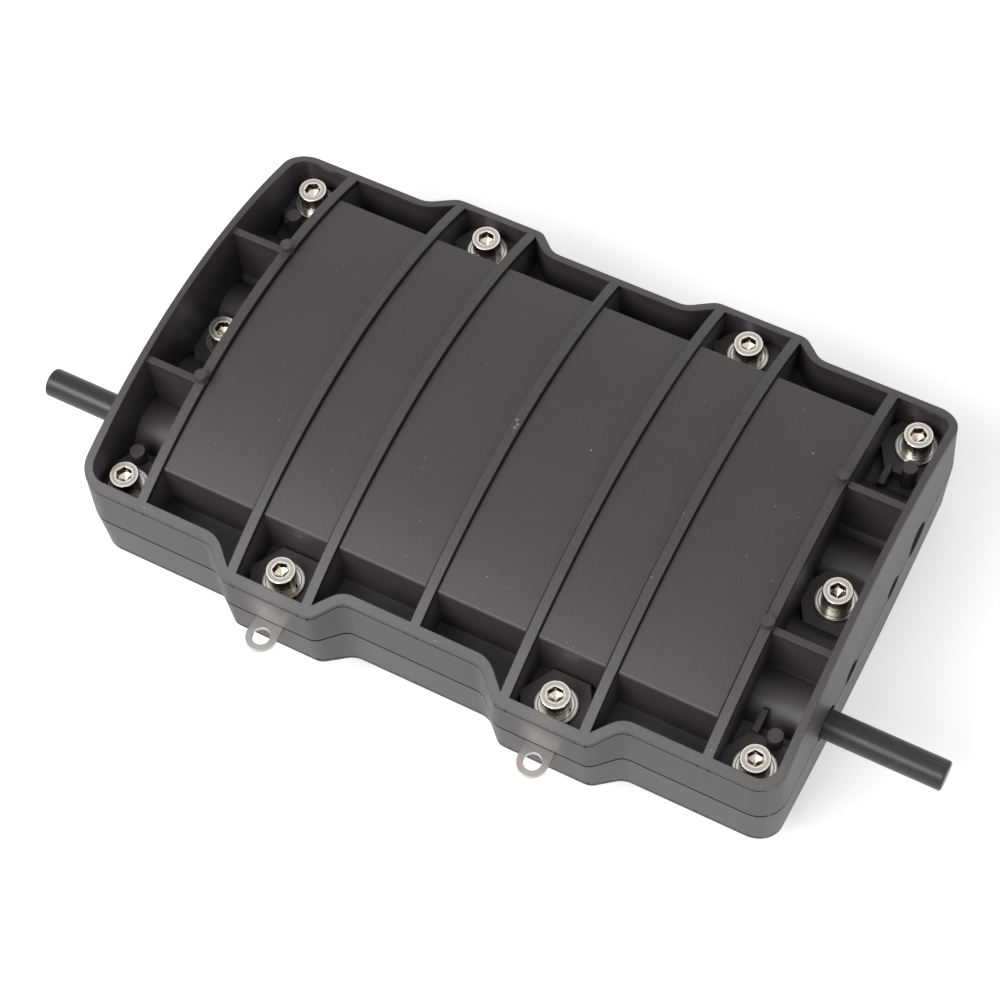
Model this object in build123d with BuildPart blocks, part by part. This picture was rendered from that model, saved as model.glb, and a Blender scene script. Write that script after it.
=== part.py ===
from build123d import *
import math
import os

os.makedirs("parts", exist_ok=True)

# A bolted clamshell box that joins fibre cables in line: a crowned base and a crowned cover,
# sealed between them, with splice trays and cable clamps inside. Lengths are in millimetres.
# X runs along the box, Y across it and Z up. Heights in the housing count from the parting plane.

# Housing plan, measured at the parting plane
half_length = 128.8
half_width = 76.0
corner_radius = 10.0
lobe_reach = 8.2
lobe_half_crest = 17.0
lobe_half_foot = 25.3
lobe_fillet = 6.0
draft = 2.5

# Heights of each half over the parting plane, the radii of their crowns, and the feet on both
cover_height = 37.0
base_depth = 37.0
cover_crown_radius = 177.0
base_crown_radius = 190.0
foot_proud = 1.0
foot_radius = 2.1

# Outer wall, ribs and the low floor around the raised deck
wall_foot = 4.25
pocket_draft = 0.5
floor_thickness = 3.0
rib_thickness = 3.4
end_bay_length = 25.6
lobe_rib_offset = 14.1
deck_drop = 2.0
deck_flatness = 11.0
deck_channel_width = 15.7
deck_thickness = 3.0
deck_edge_radius = 1.2
divider_port_offset = 8.0
divider_thickness = 2.5
divider_drop = 1.7
corner_post_radius = 2.6
corner_post_height = 14.2
corner_post_inset = 10.8
corner_post_step = 10.9
corner_web_offset = 7.8
corner_web_thickness = 2.3
corner_web_length = 8.1
corner_web_height = 11.0

# Screw places, seats and the screws themselves
corner_screw_inset_x = 12.8
corner_screw_inset_y = 11.7
end_screw_inset = 13.4
lobe_screw_x = 50.4
lobe_screw_inset = 11.8
seat_height = 8.0
seat_across_flats = 22.8
screw_radius = 3.0
screw_length = 25.0
screw_head_radius = 5.0
screw_head_height = 6.0
screw_head_chamfer = 0.2
socket_across_flats = 5.0
socket_depth = 3.2
socket_point_depth = 1.3
socket_point_taper = 60.0
screw_tip_chamfer = 0.6
screw_hole_clearance = 0.3
flat_washer_radius = 7.1
flat_washer_thickness = 1.5
spring_washer_radius = 5.1
spring_washer_thickness = 1.5
spring_washer_gap = 1.2
washer_bore_clearance = 0.25

# Threaded inserts in the base
insert_radius = 4.25
insert_length = 12.0
insert_sink = 2.0
insert_fit = 0.02
thread_clearance = 0.05
insert_groove_length = 2.0
insert_groove_depth = 0.5
boss_wall = 3.0
boss_bottom = 2.0
boss_relief = 1.0

# Inner hollow and cable ports
cavity_end_wall = 5.2
cavity_side_wall = 2.8
cavity_edge_radius = 3.0
cut_margin = 1.0
port_side_gap = 20.7
port_pitch = 20.0
outer_port_radius = 6.5
inner_port_radius = 4.6
seal_wall = 3.5
seal_length = 10.0
outer_chamber_radius = 9.5
inner_chamber_radius = 7.5
dome_wall = 2.5

# Rubber seals
gasket_width = 4.0
gasket_height = 3.0
gasket_clearance = 0.1
gasket_line_offset = 6.5
gasket_corner_radius = 6.0
collar_clearance = 0.3
inner_collar_bore = 4.0
rod_fit = 0.05

# Plug rods in two of the outer ports
rod_radius = 5.15
rod_right_stickout = 41.2
rod_left_stickout = 37.4
rod_overhang = 1.0
rod_edge = 0.8

# Steel hanging lugs under the front lobe screws
lug_width = 10.5
lug_thickness = 1.5
lug_hole_outset = 5.8
lug_hole_radius = 3.1
lug_clearance = 0.1

# Cable saddles moulded in the base, and the bars that clamp on them
saddle_end_gap = 1.0
saddle_thickness = 10.0
saddle_side_gap = 4.5
saddle_clearance = 0.1
clamp_bar_height = 9.0
clamp_bar_edge = 2.0
clamp_screw_length = 18.0
clamp_screw_edge = 4.5
inner_cable_radius = 4.0

# Small screws with pan heads
small_screw_radius = 2.0
small_head_radius = 3.8
small_head_height = 2.6
small_head_edge = 0.8
small_hole_clearance = 0.2
small_pilot_fit = 0.02
small_pilot_relief = 1.0
head_recess = 1.2

# Tray bracket, a pressed steel plate on bosses of the base
bracket_end_gap = 1.0
bracket_side_gap = 12.5
bracket_corner = 6.0
bracket_thickness = 1.5
bracket_level = -21.0
bracket_boss_radius = 4.5
bracket_screw_length = 8.0
window_length = 32.0
window_width = 32.0
window_corner = 4.0
window_x = 30.0
ear_thickness = 1.5
ear_gap = 2.25
ear_half_length = 2.4

# Posts that hold the cables' strength members
post_inset = 5.0
post_radius = 3.6
post_height = 15.0
post_stub_radius = 2.5
post_stub_fit = 0.02
clamp_plate_side = 9.0
clamp_plate_thickness = 1.5
post_screw_length = 8.0

# Splice trays, stacked on the bracket and hinged at one end
tray_post_gap = 11.0
tray_side_gap = 1.0
tray_corner = 14.0
tray_height = 10.0
tray_wall = 1.5
tray_notch = 9.0
tray_notch_depth = 5.0
tray_notch_inset = 22.0
hub_radius = 17.0
hub_inset = 24.0
hub_wall = 1.2
hub_height = 7.5
knuckle_reach = 5.5
knuckle_inset = 17.0
pin_radius = 1.5
pin_fit = 0.05
pin_overhang = 1.5
lid_thickness = 1.2
holder_x = 16.0
holder_length = 6.0
holder_height = 6.5
holder_slots = 12
holder_pitch = 3.6
holder_slot_width = 2.4
holder_slot_depth = 4.5
holder_wall = 1.2
strap_width = 20.0
strap_thickness = 1.2
strap_clearance = 0.2
strap_corner = 0.5

# The frame's origin is under the middle of the whole part, rods and lugs counted
lug_hole_y = half_width + lobe_reach + lug_hole_outset
lug_tip_y = lug_hole_y + lug_width / 2
housing_x = (rod_left_stickout - rod_right_stickout) / 2
housing_y = (lug_tip_y - half_width - lobe_reach) / 2
parting = Plane((housing_x, housing_y, base_depth + foot_proud))

# Lines in the plan that follow the housing's outline, from its middle
end_rib_x = half_length - end_bay_length
deck_half_width = half_width - deck_channel_width
cavity_half_length = end_rib_x - cavity_end_wall
cavity_half_width = deck_half_width - cavity_side_wall
seal_line_x = cavity_half_length + seal_wall + seal_length / 2
gasket_line_y = cavity_half_width + gasket_line_offset
outer_port_y = cavity_half_width - port_side_gap
inner_port_y = outer_port_y - port_pitch
divider_y = outer_port_y - divider_port_offset
seal_web_half_length = (outer_port_y + outer_chamber_radius + gasket_line_y - gasket_corner_radius) / 2
corner_screw_x = half_length - corner_screw_inset_x
corner_screw_y = half_width - corner_screw_inset_y
end_screw_x = half_length - end_screw_inset
lobe_screw_y = half_width + lobe_reach - lobe_screw_inset
corner_post_x = half_length - corner_post_inset
corner_post_y = corner_screw_y - corner_post_step
corner_web_x = end_rib_x + corner_web_offset

# Lines of the inner pieces, each from the wall or the piece beside it
saddle_x = cavity_half_length - saddle_end_gap - saddle_thickness / 2
saddle_inner_x = saddle_x - saddle_thickness / 2
saddle_half_width = cavity_half_width - saddle_side_gap
clamp_outer_screw_y = saddle_half_width - clamp_screw_edge
rod_inner_x = saddle_inner_x - rod_overhang
bracket_half_length = saddle_inner_x - bracket_end_gap
bracket_half_width = cavity_half_width - bracket_side_gap
post_x = bracket_half_length - post_inset
tray_half_length = post_x - tray_post_gap
tray_half_width = bracket_half_width - tray_side_gap
tray_notch_x = tray_half_length - tray_notch_inset
hub_x = tray_half_length - hub_inset
knuckle_half_width = tray_half_width - knuckle_inset
ear_y = knuckle_half_width + ear_gap + ear_thickness / 2

# Places in the plan, from the middle of the housing
corner_screws = [(sx * corner_screw_x, sy * corner_screw_y) for sx in (-1, 1) for sy in (-1, 1)]
end_screws = [(sx * end_screw_x, 0) for sx in (-1, 1)]
lobe_screws = [(sx * lobe_screw_x, sy * lobe_screw_y) for sx in (-1, 1) for sy in (-1, 1)]
screw_spots = corner_screws + end_screws + lobe_screws
socket_turns = (59, 30, 54, 24, 26, 53, 20, 54, 60, 51)
between_ports_y = (outer_port_y + inner_port_y) / 2
bracket_spots = [(sx * post_x, sy * between_ports_y) for sx in (-1, 1) for sy in (-1, 1)]
post_spots = [(sx * post_x, sy * y) for sx in (-1, 1) for sy in (-1, 1) for y in (outer_port_y, inner_port_y)]

# Cable ports, as places in a plane across the box
outer_ports = [(-outer_port_y, 0), (outer_port_y, 0)]
inner_ports = [(-inner_port_y, 0), (inner_port_y, 0)]

# Heights that pieces share, from the parting plane
spring_washer_level = seat_height + flat_washer_thickness
head_level = spring_washer_level + spring_washer_thickness
insert_bottom = insert_sink + insert_length
base_deck_top = base_depth - deck_drop
base_hollow_depth = base_deck_top - deck_thickness
base_hollow_radius = base_crown_radius + deck_flatness - deck_thickness
clamp_head_level = clamp_bar_height - head_recess
bracket_top = bracket_level + bracket_thickness
plate_level = bracket_top + post_height
tray_levels = [bracket_top, bracket_top + tray_height]
lid_level = bracket_top + 2 * tray_height
knuckle_radius = knuckle_reach / 2
hinge_x = tray_half_length + knuckle_radius


def at(height):
    """The plane at a height over the parting plane, centred on the housing."""
    return parting.offset(height)


def across(x):
    """The plane across the housing at a length x, seen along +X, with its Y upwards."""
    return Plane(parting.from_local_coords((x, 0, 0)), x_dir=(0, 1, 0), z_dir=(1, 0, 0))


def across_down(x):
    """The plane across the housing at a length x, with its Y downwards."""
    return Plane(parting.from_local_coords((x, 0, 0)), x_dir=(0, 1, 0), z_dir=(-1, 0, 0))


def lengthways():
    """The plane along the middle of the housing, with its Y upwards."""
    return Plane(parting.origin, x_dir=(1, 0, 0), z_dir=(0, -1, 0))


def clamp_spots(side):
    """Places of the clamp bar's screws at one end, between and outside the cables."""
    ys = (-clamp_outer_screw_y, -between_ports_y, between_ports_y, clamp_outer_screw_y)
    return [(side * saddle_x, y) for y in ys]


def sag(radius, y):
    """How far an arc of this radius has dropped at a distance y from its top."""
    return radius - math.sqrt(radius**2 - y**2)


def plan_outline():
    """Corners of the housing's outline, anticlockwise, with the two lobes of each long side."""
    front = [(-half_length, -half_width)]
    for lobe_x in (-lobe_screw_x, lobe_screw_x):
        front.append((lobe_x - lobe_half_foot, -half_width))
        front.append((lobe_x - lobe_half_crest, -half_width - lobe_reach))
        front.append((lobe_x + lobe_half_crest, -half_width - lobe_reach))
        front.append((lobe_x + lobe_half_foot, -half_width))
    front.append((half_length, -half_width))
    return front + [(-x, -y) for x, y in front]


def outline_radii():
    """A radius for each corner of the outline."""
    side = [corner_radius] + [lobe_fillet] * 8 + [corner_radius]
    return side + side


def rib_places():
    """Length position and half span of each cross rib."""
    inside = half_width - wall_foot / 2
    places = [(0, inside)]
    for side in (-1, 1):
        places.append((side * end_rib_x, inside))
        for step in (-lobe_rib_offset, lobe_rib_offset):
            places.append((side * (lobe_screw_x + step), inside + lobe_reach))
    return places


def arc_face(half_span, top, radius, edge=0.0):
    """A face that is flat below, upright at its sides and arched on top, with its shoulders rounded."""
    shoulder = top - sag(radius, half_span)
    with BuildSketch() as face:
        with BuildLine():
            Polyline((-half_span, shoulder), (-half_span, 0), (half_span, 0), (half_span, shoulder))
            ThreePointArc((half_span, shoulder), (0, top), (-half_span, shoulder))
        make_face()
        if edge:
            fillet(face.vertices().group_by(Axis.Y)[-1], edge)
    return face.sketch


def port_circles(outer_radius, inner_radius, mode=Mode.ADD):
    """Draws a circle at each cable port of the open sketch."""
    with Locations(*outer_ports):
        Circle(outer_radius, mode=mode)
    with Locations(*inner_ports):
        Circle(inner_radius, mode=mode)


def gasket_ring(clearance=0.0):
    """Draws the gasket's band in plan, around the hollow, widened by a clearance on each side."""
    width = gasket_width + 2 * clearance
    outer = gasket_corner_radius + width / 2
    inner = gasket_corner_radius - width / 2
    RectangleRounded(2 * seal_line_x + width, 2 * gasket_line_y + width, outer)
    RectangleRounded(2 * seal_line_x - width, 2 * gasket_line_y - width, inner, mode=Mode.SUBTRACT)


def lug_outline(x, clearance=0.0):
    """Draws a lug in plan, from the lobe screw at x to the hanging hole outside."""
    with Locations((x, -(lobe_screw_y + lug_hole_y) / 2)):
        SlotCenterToCenter(lug_hole_y - lobe_screw_y, lug_width + 2 * clearance, rotation=90)


def half_form(height, crown_radius):
    """One half of the housing, parting face down on Plane.XY and crown up."""
    deck_top = height - deck_drop
    deck_radius = crown_radius + deck_flatness
    far = half_length + cut_margin
    divider_top = height - sag(crown_radius, divider_y) - divider_drop
    with BuildPart() as half:
        # Outer wall, leaning in towards the top
        with BuildSketch() as outline:
            with BuildLine():
                FilletPolyline(*plan_outline(), radius=outline_radii(), close=True)
            make_face()
        extrude(amount=height, taper=draft)
        with BuildSketch() as inside:
            add(outline.sketch)
            offset(amount=-wall_foot)
        extrude(amount=height, taper=-pocket_draft, mode=Mode.SUBTRACT)
        # Cross ribs
        for rib_x, reach in rib_places():
            with BuildSketch():
                with Locations((rib_x, 0)):
                    Rectangle(rib_thickness, 2 * reach)
            extrude(amount=height)
        # The crown that every rim and rib ends on
        with BuildSketch(Plane.YZ):
            add(arc_face(half_width + lobe_reach + cut_margin, height, crown_radius))
        extrude(amount=far, both=True, mode=Mode.INTERSECT)
        # Low floor around the deck
        with BuildSketch():
            add(outline.sketch)
        extrude(amount=floor_thickness, taper=draft)
        # Dividers of the end bays, and the round feet on their junctions
        divider_length = half_length - wall_foot / 2 - end_rib_x
        divider_middle = end_rib_x + divider_length / 2
        with BuildSketch():
            with GridLocations(2 * divider_middle, 2 * divider_y, 2, 2):
                Rectangle(divider_length, divider_thickness)
        extrude(amount=divider_top)
        with BuildSketch():
            with GridLocations(2 * end_rib_x, 2 * divider_y, 2, 2):
                Circle(foot_radius)
        extrude(amount=height + foot_proud)
        # Short posts and webs beside the corner screws
        with BuildSketch():
            with GridLocations(2 * corner_post_x, 2 * corner_post_y, 2, 2):
                Circle(corner_post_radius)
        extrude(amount=corner_post_height)
        web_middle = corner_post_y - corner_web_length / 2
        with BuildSketch():
            with GridLocations(2 * corner_web_x, 2 * web_middle, 2, 2):
                Rectangle(corner_web_thickness, corner_web_length)
        extrude(amount=corner_web_height)
        # Raised deck between the end ribs
        with BuildSketch(Plane.YZ):
            add(arc_face(deck_half_width, deck_top, deck_radius, deck_edge_radius))
        extrude(amount=end_rib_x, both=True)
        # Domes over the cable tunnels
        for side in (-1, 1):
            with BuildSketch(Plane.YZ.offset(side * end_rib_x)):
                port_circles(outer_chamber_radius + dome_wall, inner_chamber_radius + dome_wall)
            extrude(amount=side * divider_length)
        # Hexagonal seats under the screws, kept inside the wall
        with BuildSketch():
            with Locations(*screw_spots):
                RegularPolygon(seat_across_flats / 2, 6, major_radius=False)
            add(inside.sketch, mode=Mode.INTERSECT)
        extrude(amount=seat_height)
        # Everything under the parting face goes
        with BuildSketch():
            Rectangle(2 * far, 2 * far)
        extrude(amount=-height, mode=Mode.SUBTRACT)
        # Inner hollow under the deck
        hollow_top = deck_top - deck_thickness
        with BuildSketch(Plane.YZ):
            add(arc_face(cavity_half_width, hollow_top, deck_radius - deck_thickness, cavity_edge_radius))
        extrude(amount=cavity_half_length, both=True, mode=Mode.SUBTRACT)
        # Cable tunnels and the chambers for their seals
        with BuildSketch(Plane.YZ):
            port_circles(outer_port_radius, inner_port_radius)
        extrude(amount=far, both=True, mode=Mode.SUBTRACT)
        for side in (-1, 1):
            with BuildSketch(Plane.YZ.offset(side * (seal_line_x - seal_length / 2))):
                port_circles(outer_chamber_radius, inner_chamber_radius)
            extrude(amount=side * seal_length, mode=Mode.SUBTRACT)
    return half.part


cover_form = parting.location * half_form(cover_height, cover_crown_radius)
base_form = parting.location * Rot(180, 0, 0) * half_form(base_depth, base_crown_radius)

# Cover
with BuildPart() as cover_shell:
    add(cover_form)
    with BuildSketch(at(0)):
        with Locations(*screw_spots):
            Circle(screw_radius + screw_hole_clearance)
    extrude(amount=seat_height + cut_margin, mode=Mode.SUBTRACT)
    with BuildSketch(at(0)):
        gasket_ring(gasket_clearance)
    extrude(amount=gasket_height / 2, mode=Mode.SUBTRACT)
cover_shell.part.label = "cover_shell"
export_step(cover_shell.part, "parts/cover_shell.step")

# Base, with what is moulded inside it
with BuildPart() as base_shell:
    add(base_form)
    # Bosses for the threaded inserts
    with BuildSketch(at(0)):
        with Locations(*screw_spots):
            Circle(insert_radius + boss_wall)
    extrude(amount=-insert_bottom - boss_relief - boss_bottom)
    # Saddle walls under the cables, rooted in the floor of the hollow
    root = deck_thickness / 2
    for side in (-1, 1):
        with BuildSketch(across_down(side * saddle_x)):
            add(arc_face(saddle_half_width, base_hollow_depth + root, base_hollow_radius + root))
            port_circles(rod_radius + saddle_clearance, inner_cable_radius + saddle_clearance, Mode.SUBTRACT)
        extrude(amount=saddle_thickness / 2, both=True)
    # Bosses that carry the bracket
    boss_floor = base_hollow_depth + root - sag(base_hollow_radius, between_ports_y)
    with BuildSketch(at(bracket_level)):
        with Locations(*bracket_spots):
            Circle(bracket_boss_radius)
    extrude(amount=-(boss_floor + bracket_level))
    # Insert holes, blind from the parting face
    with BuildSketch(at(0)):
        with Locations(*screw_spots):
            Circle(screw_radius + screw_hole_clearance)
    extrude(amount=-insert_bottom - boss_relief, mode=Mode.SUBTRACT)
    with BuildSketch(at(-insert_sink)):
        with Locations(*screw_spots):
            Circle(insert_radius + insert_fit)
    extrude(amount=-insert_length, mode=Mode.SUBTRACT)
    # Pilot holes for the bracket's screws and the clamp bars' screws
    with BuildSketch(at(bracket_level)):
        with Locations(*bracket_spots):
            Circle(small_screw_radius + small_pilot_fit)
    bracket_pilot = bracket_screw_length - bracket_thickness + small_pilot_relief
    extrude(amount=-bracket_pilot, mode=Mode.SUBTRACT)
    with BuildSketch(at(0)):
        with Locations(*clamp_spots(-1), *clamp_spots(1)):
            Circle(small_screw_radius + small_pilot_fit)
    clamp_pilot = clamp_screw_length - clamp_head_level + small_pilot_relief
    extrude(amount=-clamp_pilot, mode=Mode.SUBTRACT)
    # Groove for the gaskets, and recesses for the hanging lugs under the front lobe screws
    with BuildSketch(at(0)):
        gasket_ring(gasket_clearance)
    extrude(amount=-gasket_height / 2, mode=Mode.SUBTRACT)
    with BuildSketch(at(0)):
        for side in (-1, 1):
            lug_outline(side * lobe_screw_x, lug_clearance)
    extrude(amount=-lug_thickness, mode=Mode.SUBTRACT)
base_shell.part.label = "base_shell"
export_step(base_shell.part, "parts/base_shell.step")

# Socket head screws of the cover
with BuildPart() as cover_screws:
    with BuildSketch(at(head_level)):
        with Locations(*screw_spots):
            Circle(screw_head_radius)
    extrude(amount=screw_head_height)
    chamfer(cover_screws.edges().group_by(Axis.Z)[-1], screw_head_chamfer)
    with BuildSketch(at(head_level)):
        with Locations(*screw_spots):
            Circle(screw_radius)
    extrude(amount=-screw_length)
    chamfer(cover_screws.edges().group_by(Axis.Z)[0], screw_tip_chamfer)
    with BuildSketch(at(head_level + screw_head_height)):
        for spot, turn in zip(screw_spots, socket_turns):
            with Locations(spot):
                RegularPolygon(socket_across_flats / 2, 6, major_radius=False, rotation=turn)
    extrude(amount=-socket_depth, mode=Mode.SUBTRACT)
    with BuildSketch(at(head_level + screw_head_height - socket_depth)):
        with Locations(*screw_spots):
            Circle(socket_across_flats / 2)
    extrude(amount=-socket_point_depth, taper=socket_point_taper, mode=Mode.SUBTRACT)
cover_screws.part.label = "cover_screws"
export_step(cover_screws.part, "parts/cover_screws.step")

# Split spring washers under the heads
with BuildPart() as spring_washers:
    with BuildSketch(at(spring_washer_level)):
        with Locations(*screw_spots):
            Circle(spring_washer_radius)
            Circle(screw_radius + washer_bore_clearance, mode=Mode.SUBTRACT)
            Rectangle(spring_washer_radius + cut_margin, spring_washer_gap,
                      align=(Align.MIN, Align.CENTER), mode=Mode.SUBTRACT)
    extrude(amount=spring_washer_thickness)
spring_washers.part.label = "spring_washers"
export_step(spring_washers.part, "parts/spring_washers.step")

# Wide flat washers on the seats
with BuildPart() as flat_washers:
    with BuildSketch(at(seat_height)):
        with Locations(*screw_spots):
            Circle(flat_washer_radius)
            Circle(screw_radius + washer_bore_clearance, mode=Mode.SUBTRACT)
    extrude(amount=flat_washer_thickness)
flat_washers.part.label = "flat_washers"
export_step(flat_washers.part, "parts/flat_washers.step")

# Brass inserts in the base, each with a groove that anchors it
with BuildPart() as threaded_inserts:
    with BuildSketch(at(-insert_sink)):
        with Locations(*screw_spots):
            Circle(insert_radius)
            Circle(screw_radius + thread_clearance, mode=Mode.SUBTRACT)
    extrude(amount=-insert_length)
    with BuildSketch(at(-insert_sink - (insert_length - insert_groove_length) / 2)):
        with Locations(*screw_spots):
            Circle(insert_radius)
            Circle(insert_radius - insert_groove_depth, mode=Mode.SUBTRACT)
    extrude(amount=-insert_groove_length, mode=Mode.SUBTRACT)
threaded_inserts.part.label = "threaded_inserts"
export_step(threaded_inserts.part, "parts/threaded_inserts.step")

# Gaskets of the long sides, which end against the end seals
for name, side in (("front", -1), ("back", 1)):
    with BuildPart() as side_gasket:
        with BuildSketch(at(-gasket_height / 2)):
            gasket_ring()
            with Locations((0, side * seal_web_half_length)):
                edge = Align.MIN if side > 0 else Align.MAX
                Rectangle(2 * half_length, half_width, align=(Align.CENTER, edge), mode=Mode.INTERSECT)
        extrude(amount=gasket_height)
    side_gasket.part.label = f"side_gasket_{name}"
    export_step(side_gasket.part, f"parts/side_gasket_{name}.step")

# Seals of the two ends: four collars on a web that lies in the gasket's groove
for name, side in (("left", -1), ("right", 1)):
    with BuildPart() as end_seal:
        with BuildSketch(at(-gasket_height / 2)):
            with Locations((side * seal_line_x, 0)):
                Rectangle(gasket_width, 2 * seal_web_half_length)
        extrude(amount=gasket_height)
        half_collar = seal_length / 2 - gasket_clearance
        with BuildSketch(across(side * seal_line_x)):
            port_circles(outer_chamber_radius - collar_clearance, inner_chamber_radius - collar_clearance)
        extrude(amount=half_collar, both=True)
        with BuildSketch(across(side * seal_line_x)):
            port_circles(rod_radius + rod_fit, inner_collar_bore)
        extrude(amount=half_collar, both=True, mode=Mode.SUBTRACT)
    end_seal.part.label = f"end_seal_{name}"
    export_step(end_seal.part, f"parts/end_seal_{name}.step")

# Rods that plug one outer port of each end
for name, side, stickout in (("left", -1, rod_left_stickout), ("right", 1, rod_right_stickout)):
    with BuildPart() as plug_rod:
        with BuildSketch(across(side * rod_inner_x)):
            with Locations(outer_ports[0]):
                Circle(rod_radius)
        extrude(amount=side * (half_length + stickout - rod_inner_x))
        fillet(plug_rod.edges().filter_by(GeomType.CIRCLE), rod_edge)
    plug_rod.part.label = f"plug_rod_{name}"
    export_step(plug_rod.part, f"parts/plug_rod_{name}.step")

# Steel lugs that the box hangs by, held under the front lobe screws
for name, side in (("left", -1), ("right", 1)):
    with BuildPart() as hanging_lug:
        with BuildSketch(at(0)):
            lug_outline(side * lobe_screw_x)
            with Locations((side * lobe_screw_x, -lobe_screw_y)):
                Circle(screw_radius + screw_hole_clearance, mode=Mode.SUBTRACT)
            with Locations((side * lobe_screw_x, -lug_hole_y)):
                Circle(lug_hole_radius, mode=Mode.SUBTRACT)
        extrude(amount=-lug_thickness)
    hanging_lug.part.label = f"hanging_lug_{name}"
    export_step(hanging_lug.part, f"parts/hanging_lug_{name}.step")

# Bars that clamp the cables on the saddles, and their screws
for name, side in (("left", -1), ("right", 1)):
    with BuildPart() as clamp_bar:
        with BuildSketch(across(side * saddle_x)):
            with Locations((0, clamp_bar_height / 2)):
                Rectangle(2 * saddle_half_width, clamp_bar_height)
        extrude(amount=saddle_thickness / 2, both=True)
        fillet(clamp_bar.edges().group_by(Axis.Z)[-1], clamp_bar_edge)
        with BuildSketch(across(side * saddle_x)):
            port_circles(rod_radius + saddle_clearance, inner_cable_radius + saddle_clearance)
        extrude(amount=saddle_thickness, both=True, mode=Mode.SUBTRACT)
        with BuildSketch(at(0)):
            with Locations(*clamp_spots(side)):
                Circle(small_screw_radius + small_hole_clearance)
        extrude(amount=clamp_bar_height, mode=Mode.SUBTRACT)
        with BuildSketch(at(clamp_head_level)):
            with Locations(*clamp_spots(side)):
                Circle(small_head_radius + small_hole_clearance)
        extrude(amount=small_head_height, mode=Mode.SUBTRACT)
    clamp_bar.part.label = f"clamp_bar_{name}"
    export_step(clamp_bar.part, f"parts/clamp_bar_{name}.step")

# Pressed steel plate that carries the trays and the posts
with BuildPart() as tray_bracket:
    with BuildSketch(at(bracket_level)):
        RectangleRounded(2 * bracket_half_length, 2 * bracket_half_width, bracket_corner)
        with GridLocations(2 * window_x, 0, 2, 1):
            RectangleRounded(window_length, window_width, window_corner, mode=Mode.SUBTRACT)
        with Locations(*bracket_spots):
            Circle(small_screw_radius + small_hole_clearance, mode=Mode.SUBTRACT)
        with Locations(*post_spots):
            Circle(post_stub_radius + post_stub_fit, mode=Mode.SUBTRACT)
    extrude(amount=bracket_thickness)
    # Ears at the left end, drilled for the trays' hinge pins
    top_pin = tray_levels[-1] + knuckle_radius
    for side in (-1, 1):
        with BuildSketch(lengthways().offset(-side * ear_y)):
            with Locations((-hinge_x, bracket_level)):
                Rectangle(2 * ear_half_length, top_pin - bracket_level, align=(Align.CENTER, Align.MIN))
            with Locations((-hinge_x, top_pin)):
                Circle(ear_half_length)
            for level in tray_levels:
                with Locations((-hinge_x, level + knuckle_radius)):
                    Circle(pin_radius + pin_fit, mode=Mode.SUBTRACT)
        extrude(amount=ear_thickness / 2, both=True)
tray_bracket.part.label = "tray_bracket"
export_step(tray_bracket.part, "parts/tray_bracket.step")

# Round posts for the cables' strength members, riveted in the plate
with BuildPart() as strength_posts:
    with BuildSketch(at(bracket_top)):
        with Locations(*post_spots):
            Circle(post_radius)
    extrude(amount=post_height)
    with BuildSketch(at(bracket_top)):
        with Locations(*post_spots):
            Circle(post_stub_radius)
    extrude(amount=-bracket_thickness)
    with BuildSketch(at(plate_level)):
        with Locations(*post_spots):
            Circle(small_screw_radius + small_pilot_fit)
    post_pilot = post_screw_length - clamp_plate_thickness + small_pilot_relief
    extrude(amount=-post_pilot, mode=Mode.SUBTRACT)
strength_posts.part.label = "strength_posts"
export_step(strength_posts.part, "parts/strength_posts.step")

# Square plates that press the strength members on the posts
with BuildPart() as strength_plates:
    with BuildSketch(at(plate_level)):
        with Locations(*post_spots):
            Rectangle(clamp_plate_side, clamp_plate_side)
            Circle(small_screw_radius + small_hole_clearance, mode=Mode.SUBTRACT)
    extrude(amount=clamp_plate_thickness)
strength_plates.part.label = "strength_plates"
export_step(strength_plates.part, "parts/strength_plates.step")

# Pan head screws: of the clamp bars, of the bracket and of the posts
small_screws = (
    ("clamp_screws", clamp_spots(-1) + clamp_spots(1), clamp_head_level, clamp_screw_length),
    ("bracket_screws", bracket_spots, bracket_top, bracket_screw_length),
    ("strength_screws", post_spots, plate_level + clamp_plate_thickness, post_screw_length),
)
for name, spots, seat, length in small_screws:
    with BuildPart() as pan_screws:
        with BuildSketch(at(seat)):
            with Locations(*spots):
                Circle(small_head_radius)
        extrude(amount=small_head_height)
        fillet(pan_screws.edges().group_by(Axis.Z)[-1], small_head_edge)
        with BuildSketch(at(seat)):
            with Locations(*spots):
                Circle(small_screw_radius)
        extrude(amount=-length)
    pan_screws.part.label = name
    export_step(pan_screws.part, f"parts/{name}.step")

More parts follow.
